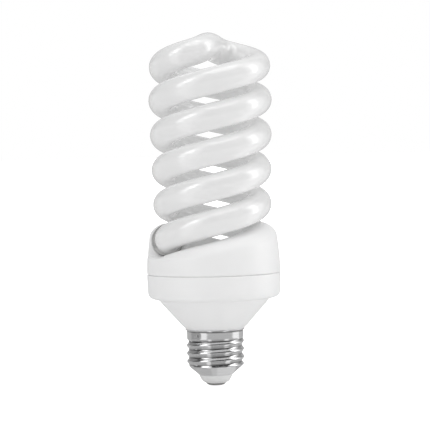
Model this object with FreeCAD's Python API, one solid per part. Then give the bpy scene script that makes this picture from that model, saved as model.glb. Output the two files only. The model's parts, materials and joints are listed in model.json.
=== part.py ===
import FreeCAD, Part
import math
import os
from FreeCAD import Vector

os.makedirs("parts", exist_ok=True)

# A compact fluorescent lamp with a full-spiral tube, in millimetres.
# The origin is the middle of the flat tip of the centre contact, +Z runs up the lamp's axis
# towards the glass, and -Y is the lamp's front.

# Screw cap of the 27 mm Edison size: a thin rolled shell on a glass insulator.
THREAD_PITCH = 3.629
THREAD_CREST_R = 13.1
THREAD_ROOT_R = 12.1
THREAD_GROOVE_Z = 11.2
THREAD_FOOT_Z = 8.0
THREAD_FADE_Z = 20.4
THREAD_TOP_Z = 22.3
THREAD_STEPS = 42
SHELL_SECTIONS = 18
BLEND_R = 0.2
SHELL_WALL = 0.35
SHELL_BOTTOM_R = 7.6
SHELL_BOTTOM_Z = 5.1
TAPER_SLOPE = 1.02
COLLAR_R = 12.85
COLLAR_TOP_Z = 24.7
FLARE_Z = 25.35
FLARE_BOW = 0.14
RIM_FLAT = 0.2
SHELL_RIM_R = 13.6
SHELL_TOP_Z = 25.9
CONTACT_R = 4.2
CONTACT_FLAT_R = 2.9
CONTACT_H = 1.15
SHANK_R = 1.4
SHANK_BORE_R = 0.75
SHANK_TOP_Z = 8.2
CONTACT_FLOOR_Z = 3.0
INSULATOR_RISE = 3.3
INSULATOR_BOW = (6.25, 3.0)
INSULATOR_CORNER = (1.2, 0.8)
INSULATOR_NOSE_R = 3.4
CONTACT_BOW = (3.75, 0.25)
CONTACT_EDGE = 0.8
SHANK_STICK = 0.4

# Ballast housing: neck, cone, ledge and upright band.
NECK_R = 12.8
NECK_TOP_Z = 27.2
NECK_FILLET = (13.75, 28.0)
CONE_BOTTOM_R = 15.0
CONE_BOTTOM_Z = 28.4
CONE_TOP_R = 24.2
CONE_TOP_Z = 39.3
CONE_FILLET = (24.6, 39.6)
LEDGE_INNER_R = 25.2
LEDGE_R = 26.9
LEDGE_Z = 39.7
LEDGE_ARC_R = 29.35
LEDGE_ARC_RISE = 0.29
BAND_BOTTOM_R = 30.2
BAND_BOTTOM_Z = 42.6
BODY_R = 30.4
SEAM_Z = 51.15
SEAM_BEVEL = 0.3
HOUSING_WALL = 1.6
BAND_INNER_R = 28.5
INNER_CORNER = 0.6
INNER_ARC_R = 27.8
SPIGOT_R = 11.65
SPIGOT_SEAT_R = 12.4
SPIGOT_BORE_R = 10.9
SPIGOT_BOTTOM_Z = 17.0
SPIGOT_STEP_Z = 22.4
SPIGOT_SEAT_Z = 23.1
RIB_COUNT = 6
RIB_WIDTH = 1.4
RIB_INNER_R = 25.6

# Upper cover: a domed wall that carries two helical ramps, each with a hooded mouth for a tube end.
WALL_ARC_R = 118.0
COVER_FLOOR_Z = 59.1
COVER_WALL = 1.1
TUNNEL_SIDE_WALL = 1.15
CEILING = 1.4
SKIRT_R = 28.35
SKIRT_WALL = 1.45
HOOD_R = 8.05
HOOD_RISE = 7.85
HOOD_WALL = 1.15
MOUTH_TURN = -4
MOUTH_WALL_TURN = 3.4
MOUTH_R = 7.15
MOUTH_SHIFT = 0.5
MOUTH_DEPTH_TURN = 12
MOUTH_CLEAR_TURN = 8
RAMP_DROP = 0.5
TUNNEL_DROP = 0.2
RAMP_DROP_TURNS = (-14, -38)
RAMP_FOOT_Z = 49.0
TUNNEL_FOOT_Z = 53.5
BEAD_Z = 49.3
BEAD_H = 0.25

# Discharge tube: two legs of a right-hand coil, half a turn apart, joined by an S-shaped bridge.
TUBE_R = 6.1
COIL_R = 21.4
COIL_R_AT_Z = 110.0
COIL_TAPER = 0.0228
COIL_RISE = 31.44
ENTRY_Z = 66.8
TUBE_END_TURN = -62
BRIDGE_TURN = 863.5
BRIDGE_PULL_OUT = 56.4
BRIDGE_PULL_IN = 52.5
BRIDGE_BEARING = 73.1
BRIDGE_TOP_Z = 152.0
CROWN_LIFT = 2.3
CROWN_WIDTH = 8.34
COIL_STEP = 15
BRIDGE_STEPS = 8
CEMENT_R = 7.1
CEMENT_TURNS = (-15, -4.6)
CEMENT_FACE_TURN = -9
CEMENT_LIP_DROP = 3.3

# Ballast board and what it carries. Components hang below the board.
BOARD_R = 27.6
BOARD_T = 1.6
BOARD_Z = 46.0
LEAD_R = 0.4
LEAD_HOLE_R = 0.5
LEAD_STICK = 1.0
JOINT_R = 1.0
JOINT_TIP_R = 0.55
JOINT_H = 0.8
POST_R = 0.45
POST_TOP_Z = 52.6
TUBE_WIRE_R = 0.25
TUBE_WIRE_GAP = 2.4
LIVE_WIRE_R = 0.65
NEUTRAL_WIRE_R = 0.5

BOARD_TOP_Z = BOARD_Z + BOARD_T
KAPPA = 0.5523
ORIGIN = Vector(0, 0, 0)
AXIS = Vector(0, 0, 1)


def polar(radius, degrees, z=0.0):
    """The point at a radius and a bearing round the lamp's axis."""
    turn = math.radians(degrees)
    return Vector(radius * math.cos(turn), radius * math.sin(turn), z)


def eased(share):
    """A share from 0 to 1, eased at both ends."""
    held = min(max(share, 0.0), 1.0)
    return held * held * (3 - 2 * held)


def outline(start, *steps):
    """A closed face in the XZ plane. A step (x, z) is straight, (mx, mz, x, z) an arc through (mx, mz)."""
    first = here = Vector(start[0], 0, start[1])
    edges = []
    for step in steps:
        there = Vector(step[-2], 0, step[-1])
        if len(step) == 4:
            edges.append(Part.Arc(here, Vector(step[0], 0, step[1]), there).toShape())
        else:
            edges.append(Part.LineSegment(here, there).toShape())
        here = there
    if here.sub(first).Length > 1e-6:
        edges.append(Part.LineSegment(here, first).toShape())
    return Part.Face(Part.Wire(edges))


def turned(start, *steps):
    """A solid of revolution about Z from an outline of (radius, z) points."""
    return outline(start, *steps).revolve(ORIGIN, AXIS, 360)


def box(x0, x1, y0, y1, z0, z1):
    """A box between two corners."""
    return Part.makeBox(x1 - x0, y1 - y0, z1 - z0, Vector(x0, y0, z0))


def rod(start, end, radius):
    """A cylinder from one point to another."""
    run = end.sub(start)
    return Part.makeCylinder(radius, run.Length, start, run)


def half_turned(shape):
    """A copy of a shape, turned half a turn about the lamp's axis."""
    twin = shape.copy()
    twin.rotate(ORIGIN, AXIS, 180)
    return twin


def swept_disc(path, radius):
    """A round bar along one smooth curve."""
    start = path.value(path.FirstParameter)
    ring = Part.Circle(start, path.tangent(path.FirstParameter)[0], radius).toShape()
    sweep = Part.BRepOffsetAPI.MakePipeShell(Part.Wire(path.toShape()))
    sweep.setTolerance(0.01, 0.01, 0.1)
    sweep.add(Part.Wire(ring))
    sweep.build()
    sweep.makeSolid()
    return sweep.shape()


def smooth_path(points):
    """A spline through a list of points."""
    path = Part.BSplineCurve()
    path.interpolate(points)
    return path


def bent_wire(points, radius):
    """A wire of straight runs joined by arcs, each as large as its two runs allow."""
    edges = []
    here = points[0]
    for before, corner, after in zip(points, points[1:], points[2:]):
        back = before.sub(corner)
        ahead = after.sub(corner)
        half_turn = (math.pi - back.getAngle(ahead)) / 2
        trim = 0.45 * min(back.Length, ahead.Length)
        back.normalize()
        ahead.normalize()
        arc_start = corner + back * trim
        arc_end = corner + ahead * trim
        bend_radius = trim / math.tan(half_turn)
        bisector = (back + ahead).normalize()
        centre = corner + bisector * math.hypot(bend_radius, trim)
        edges.append(Part.LineSegment(here, arc_start).toShape())
        edges.append(Part.Arc(arc_start, centre - bisector * bend_radius, arc_end).toShape())
        here = arc_end
    edges.append(Part.LineSegment(here, points[-1]).toShape())
    first_run = points[1].sub(points[0])
    ring = Part.Wire(Part.Circle(points[0], first_run, radius).toShape())
    return Part.Wire(edges).makePipeShell([ring], True, False)


# The discharge tube


def coil_radius(z):
    """Radius of the coil's centreline, which widens slightly towards the top."""
    return COIL_R + COIL_TAPER * (z - COIL_R_AT_Z)


def coil_point(turn):
    """A point on one leg's centreline. The leg crosses +X at the height ENTRY_Z when turn is 0."""
    z = ENTRY_Z + COIL_RISE * turn / 360
    return polar(coil_radius(z), turn, z)


def bridge_plan(share):
    """Plan position on the bridge: leaves the coil with its curvature and arrives straight at the axis."""
    start = coil_point(BRIDGE_TURN)
    radius = coil_radius(start.z)
    outward = polar(1, BRIDGE_TURN)
    along = polar(1, BRIDGE_TURN + 90)
    arrival = polar(1, BRIDGE_BEARING)
    cube, fourth, fifth = share**3, share**4, share**5
    hold = 1 - 10 * cube + 15 * fourth - 6 * fifth
    leave = share - 6 * cube + 8 * fourth - 3 * fifth
    curl = 0.5 * share**2 - 1.5 * cube + 1.5 * fourth - 0.5 * fifth
    arrive = -4 * cube + 7 * fourth - 3 * fifth
    return (
        outward * (radius * hold - BRIDGE_PULL_OUT**2 / radius * curl)
        + along * (BRIDGE_PULL_OUT * leave)
        + arrival * (BRIDGE_PULL_IN * arrive)
    )


def bridge_points():
    """Points from the coil to the crown on the axis, climbing at the coil's slope and levelling out."""
    fine = 30 * BRIDGE_STEPS
    plan = [bridge_plan(i / fine) for i in range(fine + 1)]
    run = [0.0]
    for a, b in zip(plan, plan[1:]):
        run.append(run[-1] + b.sub(a).Length)
    whole = run[-1]
    start_z = coil_point(BRIDGE_TURN).z
    slope = COIL_RISE / (2 * math.pi * coil_radius(start_z))
    points = []
    for i in range(0, fine + 1, 30):
        share = run[i] / whole
        climb = slope * whole * (share**3 - 2 * share**2 + share)
        level = (BRIDGE_TOP_Z - start_z) * (3 * share**2 - 2 * share**3)
        crown = CROWN_LIFT * math.exp(-((run[i] - whole) ** 2) / (2 * CROWN_WIDTH**2))
        points.append(Vector(plan[i].x, plan[i].y, start_z + climb + level + crown))
    return points


def mouth_path(first_turn, last_turn, step):
    """A stretch of the line that a mouth follows: a leg's centreline, shifted outwards."""
    count = max(round((last_turn - first_turn) / step), 3)
    turns = [first_turn + (last_turn - first_turn) * i / count for i in range(count + 1)]
    return smooth_path([coil_point(turn) + polar(MOUTH_SHIFT, turn) for turn in turns])


def spiral_tube():
    """One sealed glass tube: two legs, the bridge between them and a domed end on each leg."""
    count = round((BRIDGE_TURN - TUBE_END_TURN) / COIL_STEP)
    span = BRIDGE_TURN - TUBE_END_TURN
    coil = [coil_point(TUBE_END_TURN + span * i / count) for i in range(count)]
    path = smooth_path(coil + bridge_points())
    leg = swept_disc(path, TUBE_R)
    dome = Part.makeSphere(TUBE_R - 0.001, coil[0])
    half = leg.fuse(dome)
    return half.fuse(half_turned(half))


def tube_cement(tube):
    """Cement round each leg of the tube, inside its mouth, that comes forward to the lip below it."""
    first_turn, last_turn = CEMENT_TURNS
    collar = swept_disc(mouth_path(first_turn, last_turn, 5), CEMENT_R)
    face = coil_point(CEMENT_FACE_TURN)
    lip = coil_point(MOUTH_TURN)
    room = box(0, BODY_R, face.y, BODY_R, lip.z - CEMENT_LIP_DROP, lip.z + HOOD_R)
    cement = collar.cut([tube, room])
    return Part.makeCompound([cement, half_turned(cement)])


# The upper cover


def wall_radius(z):
    """Outer radius of the cover's wall, one large arc that is upright at the seam."""
    return BODY_R - WALL_ARC_R + math.sqrt(WALL_ARC_R**2 - (z - SEAM_Z) ** 2)


def rounded_quarter(start, corner, end):
    """A quarter of an oval from start to end that bulges towards a corner."""
    curve = Part.BezierCurve()
    curve.setPoles([start, start + (corner - start) * KAPPA, end + (corner - end) * KAPPA, end])
    return curve.toShape()


def ramp_section(turn, inset, side_inset, reach, drop):
    """Section of a ramp at one bearing: a round-topped wall over the tube end's centreline."""
    z = ENTRY_Z + COIL_RISE * turn / 360
    middle = coil_radius(z)
    outer = wall_radius(z) - side_inset
    inner = middle - HOOD_R + inset
    start, end = RAMP_DROP_TURNS
    crest_z = z + HOOD_RISE - inset - drop * eased((turn - start) / (end - start))
    far = max(reach, outer)
    corners = [(outer, z), (middle, crest_z), (inner, z), (inner, RAMP_FOOT_Z), (far, RAMP_FOOT_Z), (far, z)]
    points = [polar(radius, turn, height) for radius, height in corners]
    shoulder = rounded_quarter(points[0], polar(outer, turn, crest_z), points[1])
    heel = rounded_quarter(points[1], polar(inner, turn, crest_z), points[2])
    loop = points[2:] + ([points[0]] if far > outer else [])
    sides = [Part.LineSegment(a, b).toShape() for a, b in zip(loop, loop[1:])]
    return Part.Wire([shoulder, heel] + sides)


def ramp(first_turn, last_turn, inset, side_inset, reach, drop):
    """A ramp that follows the coil down for half a turn and lies lower past its hood."""
    count = round((first_turn - last_turn) / COIL_STEP)
    span = last_turn - first_turn
    turns = [first_turn + span * i / count for i in range(count + 1)]
    sections = [ramp_section(t, inset, side_inset, reach, drop) for t in turns]
    return Part.makeLoft(sections, True, False)


def upper_cover():
    """Moulded shell: wall, two ramps with hoods and mouths, and a skirt that plugs into the housing."""
    skirt = turned(
        (0, BOARD_TOP_Z),
        (SKIRT_R, BOARD_TOP_Z),
        (SKIRT_R, BEAD_Z - 2 * BEAD_H),
        (SKIRT_R + BEAD_H, BEAD_Z, SKIRT_R, BEAD_Z + 2 * BEAD_H),
        (SKIRT_R, SEAM_Z + 0.5),
        (0, SEAM_Z + 0.5),
    )
    dome_z = ENTRY_Z + HOOD_R + 1
    middle_z = (SEAM_Z + dome_z) / 2
    dome = turned(
        (0, SEAM_Z),
        (BODY_R - SEAM_BEVEL, SEAM_Z),
        (wall_radius(SEAM_Z + SEAM_BEVEL), SEAM_Z + SEAM_BEVEL),
        (wall_radius(middle_z), middle_z, wall_radius(dome_z), dome_z),
        (0, dome_z),
    )
    last_turn = MOUTH_TURN - 180
    base = Part.makeCylinder(BODY_R + 1, COVER_FLOOR_Z - RAMP_FOOT_Z, Vector(0, 0, RAMP_FOOT_Z))
    hood = ramp(MOUTH_TURN, last_turn, 0, -0.15, BODY_R + 2, RAMP_DROP)
    outer = base.fuse([hood, half_turned(hood)]).common(dome).fuse(skirt)
    inner_r = BODY_R - COVER_WALL
    hollow = turned(
        (0, BOARD_TOP_Z - 1),
        (SKIRT_R - SKIRT_WALL, BOARD_TOP_Z - 1),
        (SKIRT_R - SKIRT_WALL, SEAM_Z),
        (inner_r, SEAM_Z + 1.8),
        (inner_r, COVER_FLOOR_Z - CEILING),
        (0, COVER_FLOOR_Z - CEILING),
    )
    inner_first = MOUTH_TURN - MOUTH_WALL_TURN
    above = Part.makeCylinder(BODY_R, HOOD_R * 4, Vector(0, 0, TUNNEL_FOOT_Z))
    tunnel = ramp(inner_first, last_turn, HOOD_WALL, TUNNEL_SIDE_WALL, 0, TUNNEL_DROP).common(above)
    mouth = swept_disc(mouth_path(MOUTH_TURN - MOUTH_DEPTH_TURN, MOUTH_TURN + MOUTH_CLEAR_TURN, 5), MOUTH_R)
    return outer.cut([hollow, tunnel, half_turned(tunnel), mouth, half_turned(mouth)])


# The ballast housing


def lower_housing():
    """Moulded cup: spigot inside the screw shell, neck, cone, ledge and band, with ribs for the board."""
    corner_z = LEDGE_Z + (BAND_BOTTOM_Z - LEDGE_Z) * LEDGE_ARC_RISE
    outer = turned(
        (0, SPIGOT_BOTTOM_Z),
        (SPIGOT_R, SPIGOT_BOTTOM_Z),
        (SPIGOT_R, SPIGOT_STEP_Z),
        (SPIGOT_SEAT_R, SPIGOT_SEAT_Z),
        (SPIGOT_SEAT_R, SHELL_TOP_Z),
        (NECK_R, SHELL_TOP_Z),
        (NECK_R, NECK_TOP_Z),
        (*NECK_FILLET, CONE_BOTTOM_R, CONE_BOTTOM_Z),
        (CONE_TOP_R, CONE_TOP_Z),
        (*CONE_FILLET, LEDGE_INNER_R, LEDGE_Z),
        (LEDGE_R, LEDGE_Z),
        (LEDGE_ARC_R, corner_z, BAND_BOTTOM_R, BAND_BOTTOM_Z),
        (BODY_R, SEAM_Z - SEAM_BEVEL),
        (BODY_R - SEAM_BEVEL, SEAM_Z),
        (0, SEAM_Z),
    )
    slope = math.atan2(CONE_TOP_R - CONE_BOTTOM_R, CONE_TOP_Z - CONE_BOTTOM_Z)
    thick = HOUSING_WALL / math.cos(slope)
    floor_z = LEDGE_Z + HOUSING_WALL
    hollow = turned(
        (0, SPIGOT_BOTTOM_Z - 1),
        (SPIGOT_BORE_R, SPIGOT_BOTTOM_Z - 1),
        (SPIGOT_BORE_R, NECK_TOP_Z - HOUSING_WALL / 2),
        (CONE_BOTTOM_R - thick, CONE_BOTTOM_Z),
        (CONE_TOP_R - thick, CONE_TOP_Z),
        (CONE_TOP_R - thick + HOUSING_WALL, floor_z),
        (LEDGE_R - INNER_CORNER, floor_z),
        (INNER_ARC_R, floor_z + INNER_CORNER, BAND_INNER_R, BAND_BOTTOM_Z + INNER_CORNER),
        (BAND_INNER_R, BEAD_Z - 2.4 * BEAD_H),
        (BAND_INNER_R + BEAD_H, BEAD_Z, BAND_INNER_R, BEAD_Z + 2.4 * BEAD_H),
        (BAND_INNER_R, SEAM_Z + 1),
        (0, SEAM_Z + 1),
    )
    cup = outer.cut(hollow)
    ribs = []
    for i in range(RIB_COUNT):
        rib = box(RIB_INNER_R, BAND_INNER_R + 0.3, -RIB_WIDTH / 2, RIB_WIDTH / 2, floor_z - 0.4, BOARD_Z)
        rib.rotate(ORIGIN, AXIS, 30 + 360 / RIB_COUNT * i)
        ribs.append(rib)
    return cup.fuse(ribs)


# The screw cap


def shell_radius(z, turn):
    """Outer radius of the shell between its taper and its collar, at a height and a bearing."""
    phase = 2 * math.pi * ((z - THREAD_GROOVE_Z) / THREAD_PITCH - turn / 360)
    depth = THREAD_CREST_R - THREAD_ROOT_R
    wave = THREAD_CREST_R - depth * (1 + math.cos(phase)) / 2
    threaded = wave + (COLLAR_R - wave) * eased((z - THREAD_FADE_Z) / (THREAD_TOP_Z - THREAD_FADE_Z))
    taper = SHELL_BOTTOM_R + (z - SHELL_BOTTOM_Z) * TAPER_SLOPE
    near = abs(threaded - taper)
    return min(threaded, taper) - math.log(1 + math.exp(-near / BLEND_R)) * BLEND_R


def shell_side(turn, inset, foot_inset):
    """One face of the shell's section at a bearing, as edges from the bottom up, and its two end points."""
    rise = (THREAD_TOP_Z - THREAD_FOOT_Z) / THREAD_STEPS
    heights = [THREAD_FOOT_Z + rise * i for i in range(THREAD_STEPS + 1)]
    wave = [polar(shell_radius(z, turn) - inset, turn, z) for z in heights]
    bottom = polar(SHELL_BOTTOM_R - foot_inset, turn, SHELL_BOTTOM_Z)
    collar = polar(COLLAR_R - inset, turn, COLLAR_TOP_Z)
    flare = polar(COLLAR_R - inset + FLARE_BOW, turn, FLARE_Z)
    rim = polar(SHELL_RIM_R - inset, turn, SHELL_TOP_Z - RIM_FLAT)
    top = polar(SHELL_RIM_R - inset, turn, SHELL_TOP_Z)
    edges = [
        Part.LineSegment(bottom, wave[0]).toShape(),
        smooth_path(wave).toShape(),
        Part.LineSegment(wave[-1], collar).toShape(),
        Part.Arc(collar, flare, rim).toShape(),
        Part.LineSegment(rim, top).toShape(),
    ]
    return edges, bottom, top


def screw_shell():
    """Thin rolled metal shell whose inside follows its outside: a closed loft of radial sections."""
    foot_wall = SHELL_WALL * math.sqrt(1 + TAPER_SLOPE**2)
    sections = []
    for i in range(SHELL_SECTIONS):
        turn = 360 / SHELL_SECTIONS * i
        outside, outer_bottom, outer_top = shell_side(turn, 0, 0)
        inside, inner_bottom, inner_top = shell_side(turn, SHELL_WALL, foot_wall)
        lip = Part.LineSegment(outer_top, inner_top).toShape()
        foot = Part.LineSegment(inner_bottom, outer_bottom).toShape()
        sections.append(Part.Wire(outside + [lip] + inside[::-1] + [foot]))
    return Part.makeLoft(sections, True, False, True)


def cap_insulator():
    """Glass insulator that fills the shell's taper and carries the contact."""
    inner_r = SHELL_BOTTOM_R - SHELL_WALL * math.sqrt(1 + TAPER_SLOPE**2)
    top_r = inner_r + INSULATOR_RISE * TAPER_SLOPE
    chamfer_r, chamfer_z = INSULATOR_CORNER
    return turned(
        (SHANK_R, CONTACT_H),
        (CONTACT_R + 0.1, CONTACT_H),
        (*INSULATOR_BOW, SHELL_BOTTOM_R, SHELL_BOTTOM_Z),
        (inner_r, SHELL_BOTTOM_Z),
        (top_r, SHELL_BOTTOM_Z + INSULATOR_RISE),
        (top_r - chamfer_r, SHELL_BOTTOM_Z + INSULATOR_RISE + chamfer_z),
        (INSULATOR_NOSE_R, SHANK_TOP_Z),
        (SHANK_R, SHANK_TOP_Z),
    )


def centre_contact():
    """Domed contact with a flat tip and a hollow shank that takes the live lead."""
    return turned(
        (0, 0),
        (CONTACT_FLAT_R, 0),
        (*CONTACT_BOW, CONTACT_R, CONTACT_EDGE),
        (CONTACT_R, CONTACT_H),
        (SHANK_R, CONTACT_H),
        (SHANK_R, SHANK_TOP_Z + SHANK_STICK),
        (SHANK_BORE_R, SHANK_TOP_Z + SHANK_STICK),
        (SHANK_BORE_R, CONTACT_FLOOR_Z),
        (0, CONTACT_FLOOR_Z),
    )


# The ballast. Each component is made with the board's underside at z = 0 and hangs below it.

lead_spots = []

CAN_R = 5.0
CAN_LENGTH = 19.9


def on_board(shape, leads, x, y, degrees):
    """Moves a component to its place under the board and notes where its leads pass through."""
    place = FreeCAD.Placement(Vector(x, y, BOARD_Z), FreeCAD.Rotation(AXIS, degrees))
    for lead_x, lead_y in leads:
        lead_spots.append(place.multVec(Vector(lead_x, lead_y, 0)))
    moved = shape.copy()
    moved.transformShape(place.toMatrix(), True)
    return moved


def lead(x, y, from_z):
    """A straight lead from a component up through the board."""
    return rod(Vector(x, y, from_z), Vector(x, y, BOARD_T + LEAD_STICK), LEAD_R)


def electrolytic_capacitor():
    """Sleeved can with a crimped groove at its bung and a recessed far end."""
    top = -0.5
    bottom = top - CAN_LENGTH
    can = turned(
        (0, top),
        (CAN_R - 0.4, top),
        (CAN_R - 0.1, top - 0.1, CAN_R, top - 0.4),
        (CAN_R, top - 1.7),
        (CAN_R - 0.4, top - 2.2, CAN_R, top - 2.7),
        (CAN_R, bottom + 0.4),
        (CAN_R - 0.1, bottom + 0.1, CAN_R - 0.4, bottom),
        (CAN_R - 0.9, bottom),
        (CAN_R - 0.9, bottom + 0.3),
        (0, bottom + 0.3),
    )
    leads = [(-CAN_R / 2, 0), (CAN_R / 2, 0)]
    body = can.fuse([lead(x, y, -1.0) for x, y in leads])
    return on_board(body, leads, -5.2, 0, 90)


CHOKE_PLACE = (8.4, 0, 0)
CORE_DEPTH = 5.0
CORE_WIDTH = 16.0
CORE_HALF_H = 7.0
CORE_TOP_Z = -1.4
CORE_BACK = 2.0
CENTRE_LEG = 4.0
SIDE_LEG = 2.0
BOBBIN_SKIN = 0.6
FLANGE_HALF = 5.85
FLANGE_T = 0.9
WOUND_HALF = 5.5


def choke_core(upper):
    """One E-shaped ferrite half of the choke."""
    top = CORE_TOP_Z if upper else CORE_TOP_Z - 2 * CORE_HALF_H
    toward = -1 if upper else 1
    mid = top + toward * CORE_HALF_H
    back = top + toward * CORE_BACK
    half = CORE_WIDTH / 2
    side = half - SIDE_LEG
    leg = CENTRE_LEG / 2
    comb = [(-half, top), (half, top), (half, mid), (side, mid), (side, back), (leg, back)]
    comb += [(leg, mid), (-leg, mid), (-leg, back), (-side, back), (-side, mid), (-half, mid)]
    corners = [Vector(-CORE_DEPTH / 2, y, z) for y, z in comb]
    face = Part.Face(Part.makePolygon(corners + corners[:1]))
    return on_board(face.extrude(Vector(CORE_DEPTH, 0, 0)), [], *CHOKE_PLACE)


def choke_bobbin():
    """Former with two flanges and two pin rails that stand on the board."""
    top = CORE_TOP_Z - CORE_BACK - 0.1
    bottom = CORE_TOP_Z - 2 * CORE_HALF_H + CORE_BACK + 0.1
    tube_x = CORE_DEPTH / 2 + 0.15 + BOBBIN_SKIN
    tube_y = CENTRE_LEG / 2 + 0.15 + BOBBIN_SKIN
    wide = FLANGE_HALF
    former = box(-tube_x, tube_x, -tube_y, tube_y, bottom, top)
    flanges = [box(-wide, wide, -wide, wide, z, z + FLANGE_T) for z in (bottom, top - FLANGE_T)]
    rails = [box(x, x + 3.1, -wide, wide, top - FLANGE_T, 0) for x in (-wide, wide - 3.1)]
    leads = [(x, y) for x in (-4.3, 4.3) for y in (-4.4, 4.4)]
    pins = [lead(x, y, -1.5) for x, y in leads]
    solid = former.fuse(flanges + rails + pins)
    hole = box(-tube_x + BOBBIN_SKIN, tube_x - BOBBIN_SKIN, -tube_y + BOBBIN_SKIN,
               tube_y - BOBBIN_SKIN, bottom - 1, top + 1)
    return on_board(solid.cut(hole), leads, *CHOKE_PLACE)


def choke_winding():
    """The wound copper, with round corners, between the flanges."""
    top = CORE_TOP_Z - CORE_BACK - 0.1 - FLANGE_T
    bottom = CORE_TOP_Z - 2 * CORE_HALF_H + CORE_BACK + 0.1 + FLANGE_T
    block = box(-WOUND_HALF, WOUND_HALF, -WOUND_HALF, WOUND_HALF, bottom, top)
    uprights = [e for e in block.Edges if abs(e.tangentAt(e.FirstParameter).z) > 0.9]
    block = block.makeFillet(0.4 * WOUND_HALF, uprights)
    tube_x = CORE_DEPTH / 2 + 0.15 + BOBBIN_SKIN
    tube_y = CENTRE_LEG / 2 + 0.15 + BOBBIN_SKIN
    return on_board(block.cut(box(-tube_x, tube_x, -tube_y, tube_y, bottom - 1, top + 1)), [], *CHOKE_PLACE)


RING_PLACE = (-1.0, 14.6, 0)
RING_OUTER_R = 4.7
RING_INNER_R = 2.6
RING_H = 3.2
RING_TOP_Z = -1.5
RING_WIRE = 0.5


def drive_ring_core():
    """Small ferrite ring of the drive transformer."""
    low = RING_TOP_Z - RING_H
    ring = Part.makeCylinder(RING_OUTER_R, RING_H, Vector(0, 0, low))
    hole = Part.makeCylinder(RING_INNER_R, RING_H, Vector(0, 0, low))
    return on_board(ring.cut(hole), [], *RING_PLACE)


def drive_windings():
    """Three windings of a few turns each round the ring; the end turns go up to the board."""
    window = box(RING_INNER_R - 0.03, RING_OUTER_R, -1, 1, RING_TOP_Z - RING_H, RING_TOP_Z)
    hoop = box(
        RING_INNER_R - RING_WIRE,
        RING_OUTER_R + RING_WIRE,
        -RING_WIRE / 2,
        RING_WIRE / 2,
        RING_TOP_Z - RING_H - RING_WIRE,
        RING_TOP_Z + RING_WIRE,
    ).cut(window)
    turns = []
    leads = []
    for winding, count in ((0, 5), (120, 3), (240, 3)):
        for i in range(count):
            bearing = winding + (i - (count - 1) / 2) * 17
            turn = hoop.copy()
            turn.rotate(ORIGIN, AXIS, bearing)
            if i in (0, count - 1):
                spot = polar(RING_OUTER_R + 0.1, bearing)
                turn = turn.fuse(lead(spot.x, spot.y, RING_TOP_Z + 0.2))
                leads.append((spot.x, spot.y))
            turns.append(turn)
    return on_board(Part.makeCompound(turns), leads, *RING_PLACE)


def transistor(x, y, degrees):
    """Flat power transistor with a screw hole, a bevelled face and three leads."""
    wide, thick, low = 4.0, 1.4, -13.5
    plan = [(-wide, -thick), (wide, -thick), (wide, thick - 0.5), (wide - 0.6, thick)]
    plan += [(0.6 - wide, thick), (-wide, thick - 0.5), (-wide, -thick)]
    section = Part.makePolygon([Vector(a, b, low) for a, b in plan])
    body = Part.Face(section).extrude(Vector(0, 0, 11))
    hole = Part.makeCylinder(1.6, 3 * thick, Vector(0, -1.5 * thick, low + 3.5), Vector(0, 1, 0))
    leads = [(-2.29, 0), (0, 0), (2.29, 0)]
    solid = body.cut(hole).fuse([lead(a, b, -3.0) for a, b in leads])
    return on_board(solid, leads, x, y, degrees)


def dipped_capacitor(width, thick, height, pitch, x, y, degrees):
    """Film capacitor dipped in resin: a block with every edge well rounded."""
    block = box(-width / 2, width / 2, -thick / 2, thick / 2, -height - 1.0, -1.0)
    body = block.makeFillet(thick * 0.36, block.Edges)
    leads = [(-pitch / 2, 0), (pitch / 2, 0)]
    return on_board(body.fuse([lead(a, b, -2.5) for a, b in leads]), leads, x, y, degrees)


def disc_part(radius, thick, pitch, x, y, degrees):
    """Ceramic disc that stands on two leads."""
    disc = Part.makeCylinder(radius, thick, Vector(0, -thick / 2, -radius - 1.2), Vector(0, 1, 0))
    disc = disc.makeFillet(thick * 0.3, [e for e in disc.Edges if e.Closed])
    leads = [(-pitch / 2, 0), (pitch / 2, 0)]
    stems = [lead(a, b, -1.2 - radius * 0.6) for a, b in leads]
    return on_board(disc.fuse(stems), leads, x, y, degrees)


def axial_part(body_r, body_length, pitch, x, y, degrees, waist=0.0):
    """Diode or resistor lying under the board, its two leads bent up through it."""
    half = body_length / 2
    depth = -body_r - 0.3
    rounding = body_r * 0.25
    body = turned(
        (0, -half),
        (body_r - rounding, -half),
        (body_r, -half + rounding),
        (body_r - waist, 0, body_r, half - rounding) if waist else (body_r, half - rounding),
        (body_r - rounding, half),
        (0, half),
    )
    body.rotate(ORIGIN, Vector(0, 1, 0), 90)
    body.translate(Vector(0, 0, depth))
    spot = pitch / 2
    tail_z = BOARD_T + LEAD_STICK
    parts = [body]
    for side in (-1, 1):
        root = Vector(side * (half - LEAD_R), 0, depth)
        bend = Vector(side * spot, 0, depth)
        parts.append(bent_wire([root, bend, Vector(side * spot, 0, tail_z)], LEAD_R))
    leads = [(-spot, 0), (spot, 0)]
    return on_board(parts[0].fuse(parts[1:]), leads, x, y, degrees)


def ring_of_axials(count, radius, first, step, **sizes):
    """Several equal axial parts side by side round the board's edge, each lying radially."""
    parts = []
    for i in range(count):
        bearing = first + step * i
        spot = polar(radius, bearing)
        parts.append(axial_part(x=spot.x, y=spot.y, degrees=bearing, **sizes))
    return Part.makeCompound(parts)


FILTER_PLACE = (-12.6, -11.4, 0)
SPOOL_FLANGE_R = 3.1
SPOOL_FLANGE_T = 0.9
SPOOL_CORE_R = 1.5
SPOOL_WOUND_R = 2.8
SPOOL_TOP_Z = -1.7
SPOOL_BOTTOM_Z = -7.9
SPOOL_LEAD_X = 3.6


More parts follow.
